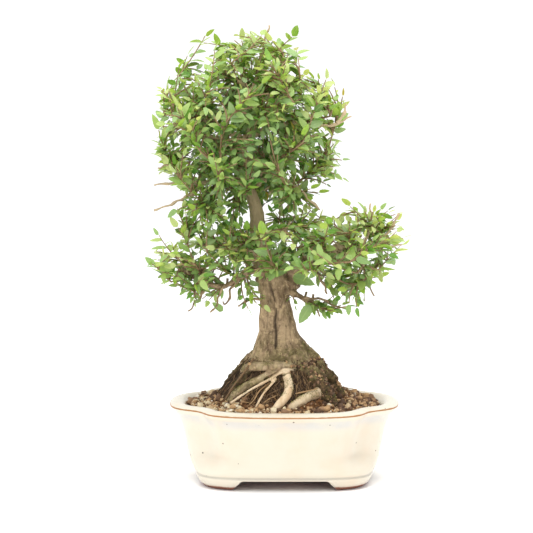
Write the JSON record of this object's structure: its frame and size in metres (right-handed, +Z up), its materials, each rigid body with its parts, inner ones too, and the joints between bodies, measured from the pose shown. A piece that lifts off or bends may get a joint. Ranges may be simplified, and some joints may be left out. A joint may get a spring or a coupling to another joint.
{
  "type": "japanese elm bonsai in a pot",
  "caption": "Bonsai elm with a flared, root-crossed trunk, a leaning leader and low side limbs, leafy shoots on every limb, in a shallow four-lobed cream glazed pot on corner feet.",
  "frame": {"origin": "on the surface the pot stands on, under the middle of the whole plant's box", "axes": "+Z up along the trunk, -Y towards the front of the tree, +X to the viewer's right from the front"},
  "size_m": [0.2619, 0.1742, 0.4506],
  "materials": {
    "glaze": "gloss",
    "soil": "matte",
    "bark": "matte",
    "foliage": "satin",
    "plastic_mesh": "matte"
  },
  "bodies": {
    "root": {"drain_mesh_left": "plastic_mesh", "drain_mesh_right": "plastic_mesh", "pot": "glaze", "soil": "soil", "spray_01": "foliage", "spray_02": "foliage", "spray_03": "foliage", "spray_04": "foliage", "spray_05": "foliage", "spray_06": "foliage", "spray_08": "foliage", "spray_10": "foliage", "spray_11": "foliage", "spray_12": "foliage", "spray_13": "foliage", "spray_14": "foliage", "spray_15": "foliage", "spray_16": "foliage", "spray_18": "foliage", "spray_19": "foliage", "spray_20": "foliage", "spray_21": "foliage", "spray_22": "foliage", "spray_25": "foliage", "spray_26": "foliage", "spray_28": "foliage", "spray_29": "foliage", "spray_30": "foliage", "spray_31": "foliage", "spray_32": "foliage", "spray_33": "foliage", "spray_34": "foliage", "spray_36": "foliage", "spray_37": "foliage", "spray_41": "foliage", "spray_42": "foliage", "spray_43": "foliage", "spray_44": "foliage", "spray_45": "foliage", "spray_46": "foliage", "spray_47": "foliage", "spray_50": "foliage", "spray_54": "foliage", "spray_55": "foliage", "spray_56": "foliage", "spray_57": "foliage", "spray_59": "foliage", "spray_60": "foliage", "spray_62": "foliage", "spray_64": "foliage", "spray_67": "foliage", "spray_68": "foliage", "spray_69": "foliage", "spray_72": "foliage", "spray_74": "foliage", "spray_77": "foliage", "spray_80": "foliage", "spray_86": "foliage", "tree": "bark"}
  },
  "joints": []
}
